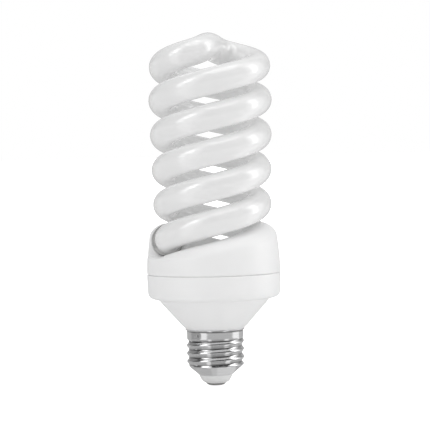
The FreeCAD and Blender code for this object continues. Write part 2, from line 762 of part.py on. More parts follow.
def filter_inductor_core():
    """Ferrite spool of the input filter."""
    spool = turned(
        (0, SPOOL_BOTTOM_Z - SPOOL_FLANGE_T),
        (SPOOL_FLANGE_R, SPOOL_BOTTOM_Z - SPOOL_FLANGE_T),
        (SPOOL_FLANGE_R, SPOOL_BOTTOM_Z),
        (SPOOL_CORE_R, SPOOL_BOTTOM_Z),
        (SPOOL_CORE_R, SPOOL_TOP_Z),
        (SPOOL_FLANGE_R, SPOOL_TOP_Z),
        (SPOOL_FLANGE_R, SPOOL_TOP_Z + SPOOL_FLANGE_T),
        (0, SPOOL_TOP_Z + SPOOL_FLANGE_T),
    )
    return on_board(spool, [], *FILTER_PLACE)


def filter_inductor_winding():
    """Wire wound on the spool, with its two ends taken past the flange into the board."""
    coil = turned(
        (SPOOL_CORE_R, SPOOL_BOTTOM_Z),
        (SPOOL_WOUND_R, SPOOL_BOTTOM_Z),
        (SPOOL_WOUND_R, SPOOL_TOP_Z),
        (SPOOL_CORE_R, SPOOL_TOP_Z),
    )
    leads = [(-SPOOL_LEAD_X, 0), (SPOOL_LEAD_X, 0)]
    tail_z = SPOOL_TOP_Z - 0.7
    tails = []
    for x, _ in leads:
        root = Vector(math.copysign(SPOOL_WOUND_R - 0.6, x), 0, tail_z)
        tails.append(bent_wire([root, Vector(x, 0, tail_z), Vector(x, 0, BOARD_T + LEAD_STICK)], LEAD_R))
    return on_board(coil.fuse(tails), leads, *FILTER_PLACE)


def tube_wire_routes():
    """Routes of the two wires of each tube end: out of the dome, then down to a post."""
    end = coil_point(TUBE_END_TURN)
    ahead = end.sub(coil_point(TUBE_END_TURN + 1)).normalize()
    outward = polar(1, TUBE_END_TURN)
    routes = []
    for side in (-1, 1):
        start = end + outward * (side * TUBE_WIRE_GAP / 2) + ahead * (TUBE_R - 0.4)
        corner = start + ahead * 3.4
        routes.append([start, corner, Vector(corner.x, corner.y, POST_TOP_Z)])
    return routes


def tube_lead_wires():
    """Four thin wires between the tube's electrodes and the posts."""
    wires = [bent_wire(route, TUBE_WIRE_R) for route in tube_wire_routes()]
    glass = Part.makeSphere(TUBE_R, coil_point(TUBE_END_TURN))
    wires = [wire.cut(glass) for wire in wires]
    return Part.makeCompound(wires + [half_turned(wire) for wire in wires])


def lead_posts():
    """Four posts on the board that the tube's wires are wrapped on."""
    posts = []
    for route in tube_wire_routes():
        spot = route[-1]
        post = rod(Vector(spot.x, spot.y, BOARD_Z - 0.6), spot, POST_R)
        posts += [post, half_turned(post)]
    return Part.makeCompound(posts)


def post_spots():
    """Where the posts pass through the board."""
    spots = [Vector(route[-1].x, route[-1].y, BOARD_Z) for route in tube_wire_routes()]
    return spots + [Vector(-spot.x, -spot.y, spot.z) for spot in spots]


def live_lead():
    """Insulated wire from the board, past the capacitor and down the neck into the contact's shank."""
    top = Vector(0.4, -8.9, BOARD_Z)
    past_can = [Vector(0.4, -8.9, 34), Vector(0.2, -6.4, 21)]
    into_shank = [Vector(0, 0, 12), Vector(0, 0, CONTACT_FLOOR_Z)]
    return bent_wire([top] + past_can + into_shank, LIVE_WIRE_R)


def neutral_lead():
    """Wire from the board down the neck, hooked under the spigot towards the screw shell."""
    points = [Vector(-3.4, 9.2, BOARD_Z), Vector(-3.4, 9.2, 36), Vector(-1.2, 9.6, 21.4),
              Vector(0, 10.0, 15.4), Vector(0, THREAD_ROOT_R - SHELL_WALL - 0.06, 15.4)]
    return bent_wire(points, NEUTRAL_WIRE_R)


def circuit_board(spots):
    """Round board with a hole for every lead and post and four notches at its rim."""
    board = Part.makeCylinder(BOARD_R, BOARD_T, Vector(0, 0, BOARD_Z))
    cutters = [Part.makeCylinder(LEAD_HOLE_R, BOARD_T + 2, Vector(p.x, p.y, BOARD_Z - 1)) for p in spots]
    for i in range(4):
        cutters.append(Part.makeCylinder(0.9, BOARD_T + 2, polar(BOARD_R, 90 * i, BOARD_Z - 1)))
    return board.cut(cutters)


def solder_joints(spots):
    """A small cone of solder round each lead on the board's upper face."""
    joint = turned(
        (LEAD_R, BOARD_TOP_Z),
        (JOINT_R, BOARD_TOP_Z),
        (0.7 * JOINT_R, BOARD_TOP_Z + 0.3, JOINT_TIP_R, BOARD_TOP_Z + JOINT_H),
        (LEAD_R, BOARD_TOP_Z + JOINT_H),
    )
    joints = []
    for spot in spots:
        cone = joint.copy()
        cone.translate(Vector(spot.x, spot.y, 0))
        joints.append(cone)
    return Part.makeCompound(joints)


def single(shape):
    """The one solid of a shape, or a compound of its separate solids."""
    solids = shape.Solids
    return solids[0] if len(solids) == 1 else Part.makeCompound(solids)


def main():
    """Builds every piece and writes it to its own file."""
    tube = spiral_tube()
    pieces = {
        "spiral_tube": tube,
        "tube_cement": tube_cement(tube),
        "upper_cover": upper_cover(),
        "lower_housing": lower_housing(),
        "screw_shell": screw_shell(),
        "cap_insulator": cap_insulator(),
        "centre_contact": centre_contact(),
        "electrolytic_capacitor": electrolytic_capacitor(),
        "choke_core_upper": choke_core(True),
        "choke_core_lower": choke_core(False),
        "choke_bobbin": choke_bobbin(),
        "choke_winding": choke_winding(),
        "drive_ring_core": drive_ring_core(),
        "drive_windings": drive_windings(),
        "transistor_a": transistor(-4.4, -12.0, 0),
        "transistor_b": transistor(4.6, -12.0, 0),
        "resonance_capacitor": dipped_capacitor(10.0, 4.4, 8.5, 7.5, -14.6, 0, 90),
        "coupling_capacitor": dipped_capacitor(9.0, 4.0, 7.5, 6.0, 11.6, 12.2, -45),
        "ceramic_capacitors": Part.makeCompound([
            disc_part(2.5, 1.8, 2.5, -9.6, 9.4, 45),
            disc_part(2.5, 1.8, 2.5, 11.0, -9.3, 0),
        ]),
        "thermistor": disc_part(3.4, 2.6, 4.0, 13.8, -12.2, 45),
        "filter_inductor_core": filter_inductor_core(),
        "filter_inductor_winding": filter_inductor_winding(),
        "rectifier_diodes": ring_of_axials(4, 20.4, 118, 10.5, body_r=1.35, body_length=4.6, pitch=8.0),
        "clamp_diodes": ring_of_axials(2, 21.0, -112, 11, body_r=1.35, body_length=4.6, pitch=8.0),
        "trigger_diac": ring_of_axials(1, 21.4, -72, 0, body_r=0.95, body_length=3.8, pitch=7.0),
        "resistors": ring_of_axials(5, 21.0, -24, 12, body_r=1.15, body_length=5.6, pitch=8.4, waist=0.2),
        "fusible_resistor": axial_part(1.6, 7.0, 10.0, 9.6, 19.6, 154, 0.3),
        "tube_lead_wires": tube_lead_wires(),
        "lead_posts": lead_posts(),
        "live_lead": live_lead(),
        "neutral_lead": neutral_lead(),
        "circuit_board": circuit_board(lead_spots + post_spots()),
        "solder_joints": solder_joints(lead_spots),
    }
    for name, shape in pieces.items():
        solid = single(shape)
        solid.exportStep(f"parts/{name}.step")
        print(name, "valid", solid.isValid(), "solids", len(solid.Solids), "mm3", round(solid.Volume, 1))


if __name__ == "__main__":
    main()
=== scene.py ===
"""Looks of a spiral energy saving lamp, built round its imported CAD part.

The lamp stands on its centre contact. Z is its axis and -Y its front. Sizes are in millimetres
until a mesh is finished, which scales it to the frame's metres. The studio is in metres.
"""

import json
import logging
import math
from dataclasses import dataclass, field
from enum import Enum
from typing import Dict, List, Sequence, Tuple, Union

import bmesh
import bpy
from mathutils import Matrix, Vector


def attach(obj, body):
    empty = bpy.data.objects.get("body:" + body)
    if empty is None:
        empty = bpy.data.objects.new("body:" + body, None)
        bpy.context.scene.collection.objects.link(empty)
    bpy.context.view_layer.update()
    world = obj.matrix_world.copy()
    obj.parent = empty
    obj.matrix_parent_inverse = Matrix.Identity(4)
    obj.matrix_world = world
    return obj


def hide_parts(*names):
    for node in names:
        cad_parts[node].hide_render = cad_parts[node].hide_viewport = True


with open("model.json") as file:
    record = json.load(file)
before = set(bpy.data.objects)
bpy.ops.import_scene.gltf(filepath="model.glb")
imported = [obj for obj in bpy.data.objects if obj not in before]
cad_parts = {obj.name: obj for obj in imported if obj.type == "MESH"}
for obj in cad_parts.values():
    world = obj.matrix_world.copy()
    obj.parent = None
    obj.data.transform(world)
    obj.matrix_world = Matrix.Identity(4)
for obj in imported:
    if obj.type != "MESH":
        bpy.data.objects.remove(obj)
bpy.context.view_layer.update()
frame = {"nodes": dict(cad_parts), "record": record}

LOG = logging.getLogger("lamp")
MM = 0.001
FRONT = -90
ROUND_STEPS = 5
# In the unit of the mesh that they are used on
MERGE_GAP = 1e-5
SLIVER_AREA = 1e-9

Colour = Tuple[float, float, float]
Sockets = Tuple[Tuple[str, object], ...]
Tree = bpy.types.NodeTree
Node = bpy.types.Node
Socket = bpy.types.NodeSocket


# Measures and shapes


def polar(radius: float, degrees: float, z: float = 0.0) -> Vector:
    """The point at a radius and a bearing round the lamp's axis."""
    turn = math.radians(degrees)
    return Vector((radius * math.cos(turn), radius * math.sin(turn), z))


def eased(share: float) -> float:
    """A share from 0 to 1, eased at both ends."""
    held = min(max(share, 0.0), 1.0)
    return held * held * (3 - 2 * held)


@dataclass(frozen=True)
class Corner:
    """A corner of a turned profile.

    Args:
        radius: distance from the axis.
        z: height.
        soften: how far from the corner its rounding starts, 0 for a sharp one.
    """

    radius: float
    z: float
    soften: float = 0.0


def profile_wire(corners: Sequence[Corner]) -> bmesh.types.BMesh:
    """Draws a profile in the XZ plane and rounds its corners.

    Args:
        corners: the corners in order. The last one joins the first.

    Returns:
        A bmesh with the closed outline as bare edges.
    """
    bm = bmesh.new()
    verts = [bm.verts.new((c.radius, 0, c.z)) for c in corners]
    bm.faces.new(verts)
    for vert, corner in zip(verts, corners):
        if corner.soften > 0:
            bmesh.ops.bevel(
                bm,
                geom=[vert],
                offset=corner.soften,
                offset_type="OFFSET",
                segments=ROUND_STEPS,
                profile=0.5,
                affect="VERTICES",
                clamp_overlap=True,
                material=-1,
            )
    bmesh.ops.delete(bm, geom=bm.faces[:], context="FACES_ONLY")
    return bm


def spin_round(bm: bmesh.types.BMesh, steps: int) -> bmesh.types.BMesh:
    """Turns everything in a bmesh once round the lamp's axis and closes it.

    Args:
        bm: a profile as bare edges.
        steps: number of steps in the full turn.

    Returns:
        The same bmesh.
    """
    bmesh.ops.spin(
        bm,
        geom=bm.verts[:] + bm.edges[:],
        cent=(0, 0, 0),
        axis=(0, 0, 1),
        angle=math.tau,
        steps=steps,
        use_merge=True,
        use_duplicate=False,
    )
    bmesh.ops.remove_doubles(bm, verts=bm.verts[:], dist=MERGE_GAP)
    slivers = [f for f in bm.faces if f.calc_area() < SLIVER_AREA]
    bmesh.ops.delete(bm, geom=slivers, context="FACES")
    bmesh.ops.recalc_face_normals(bm, faces=bm.faces[:])
    return bm


def named_mesh(bm: bmesh.types.BMesh, name: str) -> bpy.types.Mesh:
    """Writes a bmesh, which is freed, to a new mesh.

    Args:
        bm: the shape.
        name: the mesh's name.

    Returns:
        The mesh.
    """
    mesh = bpy.data.meshes.new(name)
    bm.to_mesh(mesh)
    bm.free()
    return mesh


def linked_object(name: str, data: bpy.types.ID) -> bpy.types.Object:
    """Makes an object and links it to the scene.

    Args:
        name: the object's name.
        data: its mesh, light or camera.

    Returns:
        The new object.
    """
    made = bpy.data.objects.new(name, data)
    bpy.context.scene.collection.objects.link(made)
    return made


# Finishes


class Pattern(Enum):
    """How a finish varies over its surface."""

    MOTTLED = "mottled"
    DRAWN = "drawn_lines"
    WOUND = "wound_turns"
    FIBROUS = "paper_fibres"


STRETCH: Dict[Pattern, Tuple[float, float, float]] = {
    Pattern.MOTTLED: (1.0, 1.0, 1.0),
    Pattern.DRAWN: (1.0, 1.0, 22.0),
    Pattern.WOUND: (1.0, 1.0, 1.0),
    Pattern.FIBROUS: (0.2, 1.0, 1.0),
}
NOISE_MIDDLE = 0.5
BROAD_DETAIL = 3.0
FINE_DETAIL = 2.0
FINE_SCALE = 7.0
TURN_WAVINESS = 0.6
# Noise levels between which the mask of a bend breaks up
BREAKUP = (0.2, 0.5)


def new_group(name: str, inputs: Dict[str, float], outputs: Sequence[str]) -> Tree:
    """Makes a shader group with number sockets and nothing in it.

    Args:
        name: the group's name.
        inputs: default value of each input, by name.
        outputs: names of the outputs.

    Returns:
        The group.
    """
    tree = bpy.data.node_groups.new(name, "ShaderNodeTree")
    for label, value in inputs.items():
        socket = tree.interface.new_socket(label, in_out="INPUT", socket_type="NodeSocketFloat")
        socket.default_value = value
    for label in outputs:
        tree.interface.new_socket(label, in_out="OUTPUT", socket_type="NodeSocketFloat")
    return tree


def math_node(tree: Tree, operation: str, *values: Union[Socket, float]) -> Node:
    """Adds a sum to a tree.

    Args:
        tree: where it goes.
        operation: what it works out.
        values: its inputs in order, as sockets to link or as numbers.

    Returns:
        The node.
    """
    node = tree.nodes.new("ShaderNodeMath")
    node.operation = operation
    for socket, value in zip(node.inputs, values):
        if isinstance(value, Socket):
            tree.links.new(value, socket)
        else:
            socket.default_value = value
    return node


def noise_node(tree: Tree, place: Socket, scale: Socket, detail: float) -> Node:
    """Adds a noise texture to a tree.

    Args:
        tree: where it goes.
        place: socket with the coordinates.
        scale: socket with the scale.
        detail: octaves of the noise.

    Returns:
        The node.
    """
    noise = tree.nodes.new("ShaderNodeTexNoise")
    noise.inputs["Detail"].default_value = detail
    tree.links.new(place, noise.inputs["Vector"])
    tree.links.new(scale, noise.inputs["Scale"])
    return noise


def range_node(tree: Tree, value: Socket, start: Sequence[float], end: Sequence[float]) -> Node:
    """Adds a node that carries a value from one range to another.

    Args:
        tree: where it goes.
        value: socket with the value.
        start: the range that it comes from.
        end: the range that it is carried to.

    Returns:
        The node.
    """
    carry = tree.nodes.new("ShaderNodeMapRange")
    carry.inputs["From Min"].default_value, carry.inputs["From Max"].default_value = start
    carry.inputs["To Min"].default_value, carry.inputs["To Max"].default_value = end
    tree.links.new(value, carry.inputs["Value"])
    return carry


def pattern_group(pattern: Pattern) -> Tree:
    """The shader group of a pattern, made on its first use.

    Args:
        pattern: which pattern.

    Returns:
        A group with the inputs Scale and Contrast and the outputs Mask and Height.
    """
    found = bpy.data.node_groups.get(pattern.value)
    if found:
        return found
    tree = new_group(pattern.value, {"Scale": 200.0, "Contrast": 1.0}, ("Mask", "Height"))
    nodes, links = tree.nodes, tree.links
    given = nodes.new("NodeGroupInput")
    result = nodes.new("NodeGroupOutput")
    where = nodes.new("ShaderNodeTexCoord")
    mapping = nodes.new("ShaderNodeMapping")
    mapping.inputs["Scale"].default_value = STRETCH[pattern]
    links.new(where.outputs["Object"], mapping.inputs["Vector"])
    place, scale = mapping.outputs["Vector"], given.outputs["Scale"]
    if pattern is Pattern.WOUND:
        fine = nodes.new("ShaderNodeTexWave")
        fine.wave_type = "BANDS"
        fine.bands_direction = "Z"
        fine.wave_profile = "SIN"
        fine.inputs["Distortion"].default_value = TURN_WAVINESS
        links.new(place, fine.inputs["Vector"])
        links.new(scale, fine.inputs["Scale"])
    else:
        finer = math_node(tree, "MULTIPLY", scale, FINE_SCALE)
        fine = noise_node(tree, place, finer.outputs[0], FINE_DETAIL)
    broad = noise_node(tree, place, scale, BROAD_DETAIL)
    centred = math_node(tree, "SUBTRACT", broad.outputs["Fac"], NOISE_MIDDLE)
    contrast = given.outputs["Contrast"]
    spread = math_node(tree, "MULTIPLY_ADD", centred.outputs[0], contrast, NOISE_MIDDLE)
    spread.use_clamp = True
    links.new(spread.outputs[0], result.inputs["Mask"])
    links.new(fine.outputs["Fac"], result.inputs["Height"])
    return tree


class Bend(Enum):
    """Bends that a mask picks out, as the pointiness where the mask starts and is full."""

    RIDGES = (0.5, 0.6)
    HOLLOWS = (0.492, 0.472)


def bend_group(bend: Bend) -> Tree:
    """The shader group that finds ridges or hollows, made on its first use.

    Args:
        bend: which bends.

    Returns:
        A group with the input Scale, of the mask's breakup, and the output Mask.
    """
    name = f"{bend.name.lower()}_mask"
    found = bpy.data.node_groups.get(name)
    if found:
        return found
    tree = new_group(name, {"Scale": 200.0}, ("Mask",))
    given = tree.nodes.new("NodeGroupInput")
    result = tree.nodes.new("NodeGroupOutput")
    shape = tree.nodes.new("ShaderNodeNewGeometry")
    picked = range_node(tree, shape.outputs["Pointiness"], bend.value, (0, 1))
    where = tree.nodes.new("ShaderNodeTexCoord")
    breakup = noise_node(tree, where.outputs["Object"], given.outputs["Scale"], FINE_DETAIL)
    full = range_node(tree, breakup.outputs["Fac"], BREAKUP, (0, 1))
    both = math_node(tree, "MULTIPLY", picked.outputs["Result"], full.outputs["Result"])
    both.use_clamp = True
    tree.links.new(both.outputs[0], result.inputs["Mask"])
    return tree


@dataclass(frozen=True)
class Finish:
    """A surface finish, as one procedural material.

    Args:
        name: the material slot that it is made for.
        low: colour where the pattern's mask is 0.
        high: colour where the mask is 1.
        smooth: roughness where the mask is 0.
        rough: roughness where the mask is 1.
        pattern: how the finish varies.
        scale: the pattern's scale per metre.
        contrast: how strongly the mask spreads.
        relief: height of the fine relief in millimetres.
        sockets: constant values of the shader, by socket name.
        painted_ridge_light: colour painted on ridges as a painted highlight, if any.
        painted_hollow_shade: colour painted into hollows as painted shade, if any.
    """

    name: str
    low: Colour
    high: Colour
    smooth: float
    rough: float
    pattern: Pattern = Pattern.MOTTLED
    scale: float = 200.0
    contrast: float = 1.0
    relief: float = 0.01
    sockets: Sockets = ()
    painted_ridge_light: Tuple[Colour, ...] = ()
    painted_hollow_shade: Tuple[Colour, ...] = ()

    def material(self) -> bpy.types.Material:
        """Makes the finish's material on its first use.

        Returns:
            The material.
        """
        label = f"{self.name}_finish"
        found = bpy.data.materials.get(label)
        if found:
            return found
        made = bpy.data.materials.new(label)
        made.use_nodes = True
        tree = made.node_tree
        tree.nodes.clear()
        shader = tree.nodes.new("ShaderNodeBsdfPrincipled")
        output = tree.nodes.new("ShaderNodeOutputMaterial")
        tree.links.new(shader.outputs["BSDF"], output.inputs["Surface"])
        for socket, value in self.sockets:
            shader.inputs[socket].default_value = value
        pattern = tree.nodes.new("ShaderNodeGroup")
        pattern.node_tree = pattern_group(self.pattern)
        pattern.inputs["Scale"].default_value = self.scale
        pattern.inputs["Contrast"].default_value = self.contrast
        mask = pattern.outputs["Mask"]
        tree.links.new(self._colour(tree, mask), shader.inputs["Base Color"])
        spread = range_node(tree, mask, (0, 1), (self.smooth, self.rough))
        tree.links.new(spread.outputs["Result"], shader.inputs["Roughness"])
        bump = tree.nodes.new("ShaderNodeBump")
        bump.inputs["Distance"].default_value = self.relief * MM
        tree.links.new(pattern.outputs["Height"], bump.inputs["Height"])
        tree.links.new(bump.outputs["Normal"], shader.inputs["Normal"])
        return made

    def _colour(self, tree: Tree, mask: Socket) -> Socket:
        """Mixes the finish's colours by its pattern, then paints a highlight on ridges and shade
        into hollows.

        Args:
            tree: the material's tree.
            mask: socket with the pattern's mask.

        Returns:
            The socket with the mixed colour.
        """
        blend = tree.nodes.new("ShaderNodeMix")
        blend.data_type = "RGBA"
        blend.inputs["A"].default_value = (*self.low, 1.0)
        blend.inputs["B"].default_value = (*self.high, 1.0)
        tree.links.new(mask, blend.inputs["Factor"])
        colour = blend.outputs["Result"]
        # Painted highlight on ridges and painted shade in hollows, found by pointiness
        bends = [(Bend.RIDGES, tint) for tint in self.painted_ridge_light]
        bends += [(Bend.HOLLOWS, tint) for tint in self.painted_hollow_shade]
        for bend, tint in bends:
            where = tree.nodes.new("ShaderNodeGroup")
            where.node_tree = bend_group(bend)
            where.inputs["Scale"].default_value = self.scale
            change = tree.nodes.new("ShaderNodeMix")
            change.data_type = "RGBA"
            change.inputs["B"].default_value = (*tint, 1.0)
            tree.links.new(colour, change.inputs["A"])
            tree.links.new(where.outputs["Mask"], change.inputs["Factor"])
            colour = change.outputs["Result"]
        return colour


BARE_METAL: Sockets = (("Metallic", 1.0),)

# Painted glow: emission that lightens the shaded strands, standing in for light that the thin
# phosphor coat passes on from the strands behind
PAINTED_GLOW = 0.15

GLASS_TUBE = Finish(
    "coated_glass",
    (0.68, 0.68, 0.68),
    (0.72, 0.72, 0.72),
    smooth=0.12,
    rough=0.2,
    scale=60,
    contrast=1.2,
    relief=0.002,
    sockets=(
        ("IOR", 1.5),
        ("Coat Weight", 1.0),
        ("Coat IOR", 1.55),
        ("Coat Roughness", 0.13),
        # Painted glow on the unlit tube
        ("Emission Color", (1.0, 1.0, 1.0, 1.0)),
        ("Emission Strength", PAINTED_GLOW),
        ("Subsurface Weight", 0.5),
        ("Subsurface Radius", (1.0, 1.0, 1.0)),
        ("Subsurface Scale", 0.006),
    ),
)
HOUSING_PLASTIC = Finish(
    "white_plastic",
    (0.87, 0.87, 0.87),
    (0.9, 0.9, 0.9),
    smooth=0.34,
    rough=0.44,
    scale=120,
    relief=0.006,
    sockets=(
        ("IOR", 1.49),
        ("Subsurface Weight", 0.1),
        ("Subsurface Radius", (1.0, 0.95, 0.9)),
        ("Subsurface Scale", 0.0015),
    ),
)
NICKEL = Finish(
    "nickel_plate",
    (0.68, 0.68, 0.685),
    (0.75, 0.75, 0.755),
    smooth=0.12,
    rough=0.2,
    pattern=Pattern.DRAWN,
    scale=90,
    contrast=1.6,
    relief=0.003,
    sockets=BARE_METAL,
    # Painted highlight on the thread crests and painted shade in the thread roots and punch marks
    painted_ridge_light=((0.82, 0.82, 0.83),),
    painted_hollow_shade=((0.12, 0.12, 0.12),),
)
CAP_GLASS = Finish(
    "cap_glass",
    (0.83, 0.83, 0.83),
    (0.89, 0.89, 0.885),
    smooth=0.35,
    rough=0.5,
    pattern=Pattern.DRAWN,
    scale=80,
    contrast=1.2,
)
CONTACT_METAL = Finish(
    "contact_metal",
    (0.12, 0.12, 0.12),
    (0.19, 0.19, 0.185),
    smooth=0.28,
    rough=0.45,
    scale=500,
    contrast=2.0,
    relief=0.02,
    sockets=BARE_METAL,
    # Painted highlight on the button's edges
    painted_ridge_light=((0.34, 0.34, 0.335),),
)
INSIDE_FINISHES: Tuple[Finish, ...] = (
    # Cement darkened from its own pale beige to a mid grey: painted shade for the shaded gap where
    # the tube ends enter the hoods
    Finish("cement", (0.5, 0.5, 0.495), (0.62, 0.62, 0.61), 0.8, 0.95, scale=900, relief=0.1),
    Finish(
        "board", (0.42, 0.25, 0.11), (0.55, 0.36, 0.17), 0.5, 0.65, Pattern.FIBROUS, 700, 2.0, 0.02
    ),
    Finish(
        "ferrite", (0.03, 0.03, 0.035), (0.06, 0.06, 0.065), 0.55, 0.8, scale=1500, relief=0.03
    ),
    Finish("bobbin_plastic", (0.03, 0.03, 0.035), (0.05, 0.05, 0.055), 0.4, 0.55, scale=400),
    Finish(
        "copper_wire", (0.42, 0.13, 0.05), (0.62, 0.24, 0.1), 0.22, 0.38,
        Pattern.WOUND, 1400, 2.0, 0.12, BARE_METAL,
    ),
    Finish(
        "black_resin", (0.02, 0.02, 0.02), (0.035, 0.035, 0.035), 0.5, 0.7, scale=1200, relief=0.03
    ),
    Finish("capacitor_sleeve", (0.02, 0.03, 0.12), (0.03, 0.04, 0.16), 0.25, 0.4, scale=250),
    Finish(
        "capacitor_resin", (0.36, 0.08, 0.02), (0.46, 0.12, 0.03), 0.15, 0.25,
        scale=350, relief=0.05,
    ),
    Finish("ceramic", (0.5, 0.24, 0.05), (0.6, 0.3, 0.08), 0.35, 0.5, scale=700, relief=0.04),
    Finish(
        "thermistor_coat", (0.03, 0.12, 0.05), (0.05, 0.16, 0.07), 0.35, 0.5, scale=700, relief=0.04
    ),
    Finish("resistor_coat", (0.55, 0.42, 0.22), (0.63, 0.5, 0.28), 0.3, 0.42, scale=600),
    Finish(
        "diode_glass", (0.5, 0.12, 0.05), (0.6, 0.2, 0.08), 0.05, 0.1, scale=600, relief=0.004,
        sockets=(("Transmission Weight", 0.6), ("IOR", 1.5)),
    ),
    Finish(
        "tinned_wire", (0.6, 0.6, 0.6), (0.72, 0.72, 0.72), 0.2, 0.4,
        Pattern.DRAWN, 400, 1.5, 0.01, BARE_METAL,
    ),
    Finish("wire_sleeve", (0.45, 0.02, 0.015), (0.55, 0.03, 0.02), 0.4, 0.5, scale=500),
    Finish(
        "solder", (0.5, 0.5, 0.5), (0.66, 0.66, 0.66), 0.2, 0.45,
        scale=900, relief=0.03, sockets=BARE_METAL,
    ),
)


# Pieces


@dataclass(frozen=True)
class Piece:
    """What a visible piece is called, dressed in and stands for.

    Args:
        name: the piece's name.
        slot: the record's material slot.
        finish: what the piece is dressed in.
        replaces: CAD nodes that it stands for.
        crease: edges bent by more degrees than this stay sharp.
    """

    name: str
    slot: str
    finish: Finish
    replaces: Tuple[str, ...]
    crease: float

    def from_bmesh(self, bm: bmesh.types.BMesh) -> bpy.types.Object:
        """Scales a bmesh to metres and makes it the piece.

        Args:
            bm: the shape in millimetres, which is freed.

        Returns:
            The new object.
        """
        bmesh.ops.scale(bm, vec=(MM, MM, MM), verts=bm.verts[:])
        return self.from_mesh(named_mesh(bm, self.name))

    def from_mesh(self, mesh: bpy.types.Mesh) -> bpy.types.Object:
        """Makes a finished mesh the piece, which rides on the lamp.

        Args:
            mesh: the mesh in metres, in the row frame.

        Returns:
            The new object.
        """
        mesh.name = self.name
        mesh.shade_smooth()
        mesh.set_sharp_from_angle(angle=math.radians(self.crease))
        mesh.materials.clear()
        mesh.materials.append(self.finish.material())
        piece = linked_object(self.name, mesh)
        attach(piece, "root")
        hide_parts(*self.replaces)
        LOG.info("%s: %d faces", self.name, len(mesh.polygons))
        return piece


# The discharge tube


@dataclass
class TubePath:
    """Centreline of the tube: two legs of a right-hand coil and the S-shaped bridge on top."""

    coil_r: float = 21.4
    coil_r_at_z: float = 110.0
    taper: float = 0.0228
    rise: float = 31.44
    entry_z: float = 66.8
    end_turn: float = -62.0
    bridge_turn: float = 863.5
    pull_out: float = 56.4
    pull_in: float = 52.5
    bridge_bearing: float = 73.1
    bridge_top_z: float = 152.0
    crown_lift: float = 2.3
    crown_width: float = 8.34
    coil_step: float = 3.0
    bridge_count: int = 48
    bridge_fineness: int = 5

    def coil_point(self, turn: float) -> Vector:
        """A point on one leg's centreline."""
        z = self.entry_z + self.rise * turn / 360
        return polar(self.radius_at(z), turn, z)

    def radius_at(self, z: float) -> float:
        """Radius of the coil's centreline at a height."""
        return self.coil_r + self.taper * (z - self.coil_r_at_z)

    def bridge_plan(self, share: float) -> Vector:
        """Plan position on the bridge.

        Args:
            share: 0 where it leaves the coil, 1 on the lamp's axis.

        Returns:
            The position, from the quintic that keeps the coil's direction and curvature.
        """
        start = self.coil_point(self.bridge_turn)
        radius = self.radius_at(start.z)
        cube, fourth, fifth = share**3, share**4, share**5
        hold = 1 - 10 * cube + 15 * fourth - 6 * fifth
        leave = share - 6 * cube + 8 * fourth - 3 * fifth
        curl = 0.5 * share**2 - 1.5 * cube + 1.5 * fourth - 0.5 * fifth
        arrive = -4 * cube + 7 * fourth - 3 * fifth
        outward = polar(1, self.bridge_turn)
        along = polar(1, self.bridge_turn + 90)
        arrival = polar(1, self.bridge_bearing)
        return (
            outward * (radius * hold - self.pull_out**2 / radius * curl)
            + along * (self.pull_out * leave)
            + arrival * (self.pull_in * arrive)
        )

    def bridge_points(self) -> List[Vector]:
        """Points from the coil to the crown, climbing at the coil's slope and levelling out.

        Returns:
            The points in order, the last one on the axis.
        """
        fine = self.bridge_fineness * self.bridge_count
        plan = [self.bridge_plan(i / fine) for i in range(fine + 1)]
        run = [0.0]
        for a, b in zip(plan, plan[1:]):
            run.append(run[-1] + (b - a).length)
        whole = run[-1]
        start_z = self.coil_point(self.bridge_turn).z
        slope = self.rise / (math.tau * self.radius_at(start_z))
        points = []
        for i in range(0, fine + 1, self.bridge_fineness):
            share = run[i] / whole
            climb = slope * whole * (share**3 - 2 * share**2 + share)
            level = (self.bridge_top_z - start_z) * (3 * share**2 - 2 * share**3)
            bulge = -((run[i] - whole) ** 2) / (2 * self.crown_width**2)
            crown = self.crown_lift * math.exp(bulge)
            points.append(Vector((plan[i].x, plan[i].y, start_z + climb + level + crown)))
        return points

    def whole(self) -> List[Vector]:
        """The centreline from one tube end to the other.

        Returns:
            Its points: a leg with its half of the bridge, then the same turned by half a turn.
        """
        span = self.bridge_turn - self.end_turn
        count = round(span / self.coil_step)
        coil = [self.coil_point(self.end_turn + span * i / count) for i in range(count)]
        leg = coil + self.bridge_points()
        twin = [Vector((-p.x, -p.y, p.z)) for p in reversed(leg[:-1])]
        return leg + twin


@dataclass
class SpiralTube:
    """The sealed glass tube, coated white inside."""

    piece: Piece = Piece("glass_tube", "coated_glass", GLASS_TUBE, ("spiral_tube",), 60)
    radius: float = 6.1
    sides: int = 48
    dome_steps: int = 8
    dome_lift: float = 86.0
    path: TubePath = field(default_factory=TubePath)

    def build(self) -> bpy.types.Object:
        """Sweeps a circle along the centreline, with a dome on each end.

        Returns:
            The tube.
        """
        line = self.path.whole()
        first = self._dome(line[0], line[0] - line[1])
        last = self._dome(line[-1], line[-1] - line[-2])
        points = [*reversed(first), *((p, 1.0) for p in line), *last]
        curve = bpy.data.curves.new("tube_line", "CURVE")
        curve.dimensions = "3D"
        curve.bevel_depth = self.radius * MM
        # Blender's bevel has twice this many sides and four more
        curve.bevel_resolution = self.sides // 2 - 2
        curve.use_fill_caps = True
        spline = curve.splines.new("POLY")
        spline.points.add(len(points) - 1)
        for knot, (place, share) in zip(spline.points, points):
            knot.co = (*(place * MM), 1.0)
            knot.radius = share
        rail = bpy.data.objects.new("tube_line", curve)
        mesh = bpy.data.meshes.new_from_object(rail)
        bpy.data.objects.remove(rail)
        return self.piece.from_mesh(mesh)

    def _dome(self, end: Vector, outward: Vector) -> List[Tuple[Vector, float]]:
        """Rounds off one end.

        Args:
            end: where the tube's full width ends.
            outward: the way that the end faces.

        Returns:
            Centres and radius shares of the dome's rings.
        """
        ahead = outward.normalized()
        rings = []
        for i in range(1, self.dome_steps + 1):
            lift = math.radians(self.dome_lift) * i / self.dome_steps
            rings.append((end + ahead * (self.radius * math.sin(lift)), math.cos(lift)))
        return rings


# The ballast housing


